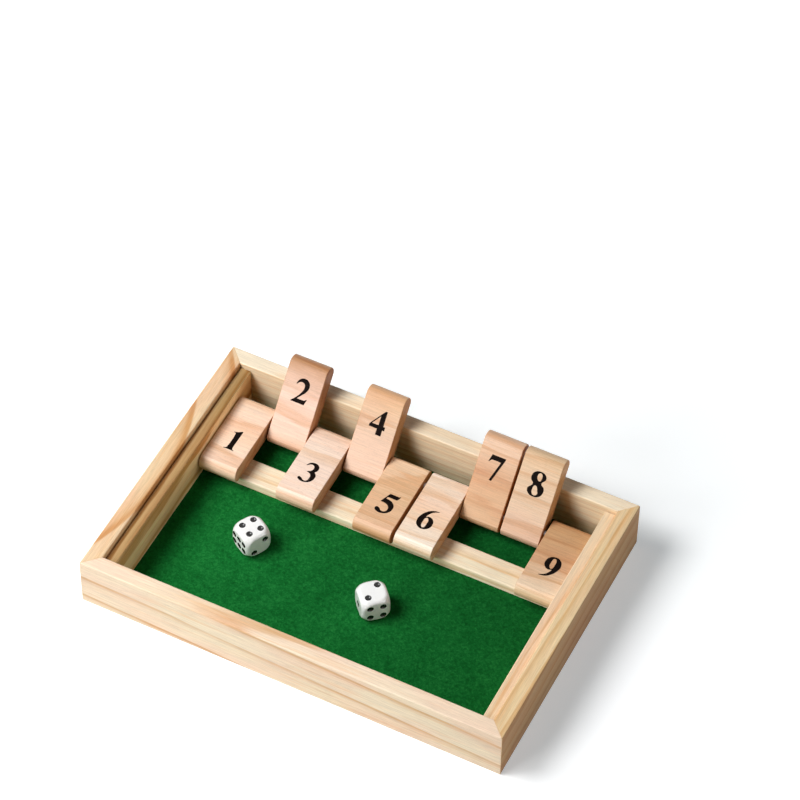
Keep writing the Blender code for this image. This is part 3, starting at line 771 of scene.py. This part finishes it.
dice = {
    "size": 14 * mm,
    "edgeRadius": 2.0 * mm,
    "cornerBall": 19.0 * mm,
    "ballBlend": 0.06,         # share of the radius over which the ball meets the cube
    "cells": 40,
    "pipDiameter": 3.2 * mm,
    "pipDepth": 0.75 * mm,
    "pipSpacing": 6.2 * mm,
    "sixAcross": 4.6 * mm,
    "sixAlong": 7.9 * mm,
    "drillSegments": 36,
    "drillRings": 24,
    "drillSlack": 1.004,       # faces this near to a drill's ball are its pip
    "turnsDeg": {"left": 60.6, "right": 43.0},
    "sharpDeg": 28,
}

diceFaces = (    # pips, outward direction, and the two directions of the pips' grid
    (2, "Z", 1, "X", "Y"),
    (5, "Z", -1, "X", "Y"),
    (4, "Y", -1, "X", "Z"),
    (3, "Y", 1, "X", "Z"),
    (1, "X", -1, "Y", "Z"),
    (6, "X", 1, "Y", "Z"),
)
unit = {"X": Vector((1, 0, 0)), "Y": Vector((0, 1, 0)), "Z": Vector((0, 0, 1))}


def makeDicePlastic():
    # Glossy white with a faint bluish depth, clouds of 6 mm and scuffs of 0.7 mm in the polish
    material, tree = newMaterial("polished white urea plastic")
    coords = addNode(tree, "ShaderNodeTexCoord")
    cloud = addNode(tree, "ShaderNodeTexNoise", None,
                    {"Vector": coords.outputs["Object"], "Scale": 0.18 / mm, "Detail": 3.0})
    colour = addNode(tree, "ShaderNodeValToRGB",
                     {"stops": [(0.3, linear("#EEEFEF")), (0.7, linear("#F4F4F2"))]}, {0: cloud.outputs[0]})
    scuff = addNode(tree, "ShaderNodeTexNoise", None,
                    {"Vector": coords.outputs["Object"], "Scale": 1.4 / mm, "Detail": 4.0, "Roughness": 0.7})
    rough = addNode(tree, "ShaderNodeMapRange", None,
                    {"Value": scuff.outputs[0], "From Min": 0.35, "From Max": 0.7, "To Min": 0.10, "To Max": 0.22})
    finish = addNode(tree, "ShaderNodeBsdfPrincipled", None,
                     {"Base Color": colour.outputs[0], "Roughness": rough.outputs[0], "IOR": 1.54,
                      "Subsurface Weight": 0.12, "Subsurface Radius": (1.0, 1.0, 1.0),
                      "Subsurface Scale": 0.6 * mm, "Coat Weight": 0.3, "Coat Roughness": 0.05})
    addNode(tree, "ShaderNodeOutputMaterial", None, {"Surface": finish.outputs[0]})
    return material


def makePipEnamel():
    # Black enamel pooled in each pip: a bright glint on a dark cup
    material, tree = newMaterial("black pip enamel")
    coords = addNode(tree, "ShaderNodeTexCoord")
    pool = addNode(tree, "ShaderNodeTexNoise", None,
                   {"Vector": coords.outputs["Object"], "Scale": 1.1 / mm, "Detail": 2.0})
    colour = addNode(tree, "ShaderNodeValToRGB",
                     {"stops": [(0.35, linear("#0B0B0C")), (0.7, linear("#1D1C1C"))]}, {0: pool.outputs[0]})
    rough = addNode(tree, "ShaderNodeMapRange", None, {"Value": pool.outputs[0], "To Min": 0.12, "To Max": 0.3})
    finish = addNode(tree, "ShaderNodeBsdfPrincipled", None,
                     {"Base Color": colour.outputs[0], "Roughness": rough.outputs[0], "IOR": 1.5})
    addNode(tree, "ShaderNodeOutputMaterial", None, {"Surface": finish.outputs[0]})
    return material


def pipPlaces(value):
    middle = [(0, 0)]
    rising = [(-1, -1), (1, 1)]
    falling = [(-1, 1), (1, -1)]
    rowMiddles = [(-1, 0), (1, 0)]
    grids = {1: middle, 2: rising, 3: rising + middle, 4: rising + falling, 5: rising + falling + middle,
             6: rising + falling + rowMiddles}
    across, along = (dice["sixAcross"], dice["sixAlong"]) if value == 6 else (dice["pipSpacing"],) * 2
    return [(u * across / 2, v * along / 2) for u, v in grids[value]]


def roundedDie():
    # A fine cube whose edges are rounded and whose corners are tumbled down to a ball
    half = dice["size"] / 2
    core = half - dice["edgeRadius"]
    bm = bmesh.new()
    bmesh.ops.create_cube(bm, size=dice["size"])
    bmesh.ops.subdivide_edges(bm, edges=bm.edges[:], cuts=dice["cells"] - 1, use_grid_fill=True)
    for vert in bm.verts:
        spread = Vector([half * math.sin(axis / half * math.pi / 2) for axis in vert.co])
        inner = Vector([max(-core, min(core, axis)) for axis in spread])
        rounded = inner + (spread - inner).normalized() * dice["edgeRadius"]
        # The ball meets the cube in a soft blend
        reach = dice["cornerBall"] / 2 / rounded.length
        near = max(dice["ballBlend"] - abs(reach - 1), 0) / dice["ballBlend"]
        vert.co = rounded * (min(1, reach) - near * near * dice["ballBlend"] / 4)
    return bm


def pipBalls():
    rim = dice["pipDiameter"] / 2
    depth = dice["pipDepth"]
    ball = (rim * rim + depth * depth) / (2 * depth)
    standOff = dice["size"] / 2 + ball - depth
    centres = []
    for value, outward, sign, across, along in diceFaces:
        for u, v in pipPlaces(value):
            centres.append(unit[outward] * sign * standOff + unit[across] * u + unit[along] * v)
    return centres, ball


def makeDice():
    plastic = makeDicePlastic()
    enamel = makePipEnamel()
    centres, ball = pipBalls()
    drill = bmesh.new()
    for centre in centres:
        facing = centre.to_track_quat("Z", "Y").to_matrix().to_4x4()
        bmesh.ops.create_uvsphere(drill, u_segments=dice["drillSegments"], v_segments=dice["drillRings"],
                                  radius=ball, matrix=Matrix.Translation(centre) @ facing)
    drillMesh = bpy.data.meshes.new("pip drill")
    drill.to_mesh(drillMesh)
    drill.free()
    drillObject = bpy.data.objects.new("pip drill", drillMesh)
    bpy.context.scene.collection.objects.link(drillObject)
    # The left die shows four on top, with its two towards the player
    tips = {"left": Matrix(((-1, 0, 0), (0, 0, -1), (0, -1, 0))), "right": Matrix.Identity(3)}
    for side, tip in tips.items():
        node = "die_" + side
        low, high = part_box(node)
        yaw = Matrix.Rotation(math.radians(dice["turnsDeg"][side]), 3, "Z")
        place = Matrix.Translation((low + high) / 2) @ (yaw @ tip).to_4x4()
        piece = addPiece(f"white_die_{side}", roundedDie(), plastic, side + "_die", place)
        piece.data.materials.append(enamel)
        drillObject.matrix_world = place
        drilled = piece.modifiers.new("pips", "BOOLEAN")
        drilled.object = drillObject
        drilled.operation = "DIFFERENCE"
        bpy.context.view_layer.update()
        cut = bpy.data.meshes.new_from_object(piece.evaluated_get(bpy.context.evaluated_depsgraph_get()))
        piece.modifiers.clear()
        piece.data = cut
        placed = [place @ centre for centre in centres]
        for face in cut.polygons:
            nearest = min((face.center - centre).length for centre in placed)
            face.material_index = 1 if nearest < ball * dice["drillSlack"] else 0
        cut.shade_smooth()
        cut.set_sharp_from_angle(angle=math.radians(dice["sharpDeg"]))
        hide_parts(node)
    bpy.data.objects.remove(drillObject)
    print("dice drilled")


# Felt: short pressed wool, glued to the board

felt = {
    "cellMm": 0.9,
    "dimpleMm": 0.05,
    "dimpleSizeMm": 2.4,
    "dimpleNoise": (0.6, 2.1, 3),    # the noise's falloff, step and number of layers
    "tones": ("#0B5520", "#136A2C", "#24803A"),
    # The next three entries paint shade across the felt, darker towards the back right
    "paintedShadeTowards": (0.7, 1, 0),
    "paintedShadeRangeMm": (-80.0, 60.0),
    "paintedShadeLevels": (1.08, 0.66),
    "sharpDeg": 60,
}


def makeFeltMaterial():
    # Saturated green with matted fibres: soft clouds, a fine mottle and short curly hairs
    material, tree = newMaterial("pressed green wool felt")
    coords = addNode(tree, "ShaderNodeTexCoord")
    # In millimetres, so each scale below is one over a pattern's size
    place = addNode(tree, "ShaderNodeMapping", None, {"Vector": coords.outputs["Object"], "Scale": (1 / mm,) * 3})
    clouds = addNode(tree, "ShaderNodeTexNoise", None,
                     {"Vector": place.outputs[0], "Scale": 1 / 11, "Detail": 3.0, "Roughness": 0.6})
    mottle = addNode(tree, "ShaderNodeTexNoise", None,
                     {"Vector": place.outputs[0], "Scale": 1 / 1.4, "Detail": 4.0, "Roughness": 0.7,
                      "Distortion": 0.6})
    tuft = addNode(tree, "ShaderNodeTexNoise", None,
                   {"Vector": place.outputs[0], "Scale": 1 / 0.5, "Detail": 3.0, "Roughness": 0.65,
                    "Distortion": 2.0})
    mixed = addNode(tree, "ShaderNodeMix", None, {0: 0.22, 2: mottle.outputs[0], 3: clouds.outputs[0]})
    stops = list(zip((0.36, 0.5, 0.66), map(linear, felt["tones"])))
    colour = addNode(tree, "ShaderNodeValToRGB", {"stops": stops}, {0: mixed.outputs[0]})
    shade = addNode(tree, "ShaderNodeMapRange", None,
                    {"Value": tuft.outputs[0], "From Min": 0.3, "From Max": 0.7, "To Min": 0.76, "To Max": 1.22})
    # Painted shade: the felt is paler at the front left and darker towards the back right, where less light falls
    paintedShadePlace = addNode(tree, "ShaderNodeVectorMath", {"operation": "DOT_PRODUCT"},
                     {0: place.outputs[0], 1: felt["paintedShadeTowards"]})
    (near, far), (pale, dark) = felt["paintedShadeRangeMm"], felt["paintedShadeLevels"]
    paintedShadeFactor = addNode(tree, "ShaderNodeMapRange", None,
                  {"Value": paintedShadePlace.outputs[1], "From Min": near, "From Max": far, "To Min": pale, "To Max": dark})
    shade = addNode(tree, "ShaderNodeMath", {"operation": "MULTIPLY"}, {0: shade.outputs[0], 1: paintedShadeFactor.outputs[0]})
    colour = addNode(tree, "ShaderNodeVectorMath", {"operation": "SCALE"},
                     {0: colour.outputs[0], "Scale": shade.outputs[0]})
    height = addNode(tree, "ShaderNodeMath", {"operation": "ADD"}, {0: mottle.outputs[0], 1: tuft.outputs[0]})
    bump = addNode(tree, "ShaderNodeBump", None,
                   {"Strength": 0.6, "Distance": 0.18 * mm, "Height": height.outputs[0]})
    finish = addNode(tree, "ShaderNodeBsdfPrincipled", None,
                     {"Base Color": colour.outputs[0], "Roughness": 0.95, "IOR": 1.5, "Specular IOR Level": 0.03,
                      "Normal": bump.outputs[0]})
    addNode(tree, "ShaderNodeOutputMaterial", None, {"Surface": finish.outputs[0]})
    return material


def makeFelt():
    low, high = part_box("felt")
    across = round((high.x - low.x) / mm / felt["cellMm"])
    deep = round((high.y - low.y) / mm / felt["cellMm"])
    bm = bmesh.new()
    top = []
    for j in range(deep + 1):
        row = []
        for i in range(across + 1):
            x = low.x + (high.x - low.x) * i / across
            y = low.y + (high.y - low.y) * j / deep
            spot = Vector((x, y, 0)) / (felt["dimpleSizeMm"] * mm)
            dip = 0.5 + 0.5 * noise.fractal(spot, *felt["dimpleNoise"])
            dip = max(0.0, min(1.0, dip)) * felt["dimpleMm"] * mm
            row.append(bm.verts.new((x, y, high.z - dip)))
        top.append(row)
    for near, far in zip(top, top[1:]):
        for i in range(across):
            bm.faces.new((near[i], near[i + 1], far[i + 1], far[i]))
    # The cut edge and the glued underside
    rim = top[0][:-1] + [row[-1] for row in top[:-1]] + top[-1][:0:-1] + [row[0] for row in top[:0:-1]]
    base = [bm.verts.new((v.co.x, v.co.y, low.z)) for v in rim]
    bridgeRings(bm, [base, rim])
    bm.faces.new(base[::-1])
    bmesh.ops.recalc_face_normals(bm, faces=bm.faces[:])
    piece = addPiece("felt_sheet", bm, makeFeltMaterial(), "box", sharpDeg=felt["sharpDeg"])
    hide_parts("felt")
    print("felt laid")


# Board and rod

def dressBoard():
    # Tempered hardboard: dark brown pressed fibre, smooth, with scattered pale chips
    material, tree = newMaterial("tempered hardboard")
    coords = addNode(tree, "ShaderNodeTexCoord")
    place = addNode(tree, "ShaderNodeMapping", None, {"Vector": coords.outputs["Object"], "Scale": (1 / mm,) * 3})
    fleck = addNode(tree, "ShaderNodeTexNoise", None,
                    {"Vector": place.outputs[0], "Scale": 1 / 0.9, "Detail": 5.0, "Roughness": 0.75,
                     "Distortion": 0.8})
    cloud = addNode(tree, "ShaderNodeTexNoise", None, {"Vector": place.outputs[0], "Scale": 1 / 25, "Detail": 2.0})
    mixed = addNode(tree, "ShaderNodeMix", None, {0: 0.25, 2: fleck.outputs[0], 3: cloud.outputs[0]})
    colour = addNode(tree, "ShaderNodeValToRGB",
                     {"stops": [(0.3, linear("#4A3220")), (0.5, linear("#6A4A30")), (0.66, linear("#8A6644"))]},
                     {0: mixed.outputs[0]})
    rough = addNode(tree, "ShaderNodeMapRange", None, {"Value": fleck.outputs[0], "To Min": 0.55, "To Max": 0.8})
    bump = addNode(tree, "ShaderNodeBump", None,
                   {"Strength": 0.3, "Distance": 0.08 * mm, "Height": fleck.outputs[0]})
    finish = addNode(tree, "ShaderNodeBsdfPrincipled", None,
                     {"Base Color": colour.outputs[0], "Roughness": rough.outputs[0], "IOR": 1.5,
                      "Normal": bump.outputs[0]})
    addNode(tree, "ShaderNodeOutputMaterial", None, {"Surface": finish.outputs[0]})
    dressNode("bottom_board", material)
    print("board dressed")


def dressRod():
    # Cold-drawn steel wire: bright, with draw marks along it, 17 mm long and 0.2 mm apart
    material, tree = newMaterial("cold drawn steel")
    coords = addNode(tree, "ShaderNodeTexCoord")
    drawn = addNode(tree, "ShaderNodeMapping", None,
                    {"Vector": coords.outputs["Object"], "Scale": (0.06 / mm, 5 / mm, 5 / mm)})
    marks = addNode(tree, "ShaderNodeTexNoise", None, {"Vector": drawn.outputs[0], "Scale": 1.0, "Detail": 3.0})
    colour = addNode(tree, "ShaderNodeValToRGB",
                     {"stops": [(0.35, linear("#B4B5B7")), (0.65, linear("#D2D3D4"))]}, {0: marks.outputs[0]})
    rough = addNode(tree, "ShaderNodeMapRange", None, {"Value": marks.outputs[0], "To Min": 0.2, "To Max": 0.38})
    bump = addNode(tree, "ShaderNodeBump", None,
                   {"Strength": 0.2, "Distance": 0.01 * mm, "Height": marks.outputs[0]})
    finish = addNode(tree, "ShaderNodeBsdfPrincipled", None,
                     {"Base Color": colour.outputs[0], "Metallic": 1.0, "Roughness": rough.outputs[0],
                      "Normal": bump.outputs[0]})
    addNode(tree, "ShaderNodeOutputMaterial", None, {"Surface": finish.outputs[0]})
    dressNode("tile_rod", material)
    print("rod dressed")


makeCamera()
makeStudio()
dressFrame()
makeMitres()
dressBoard()
dressRod()
makeFelt()
makeTiles()
makeDice()
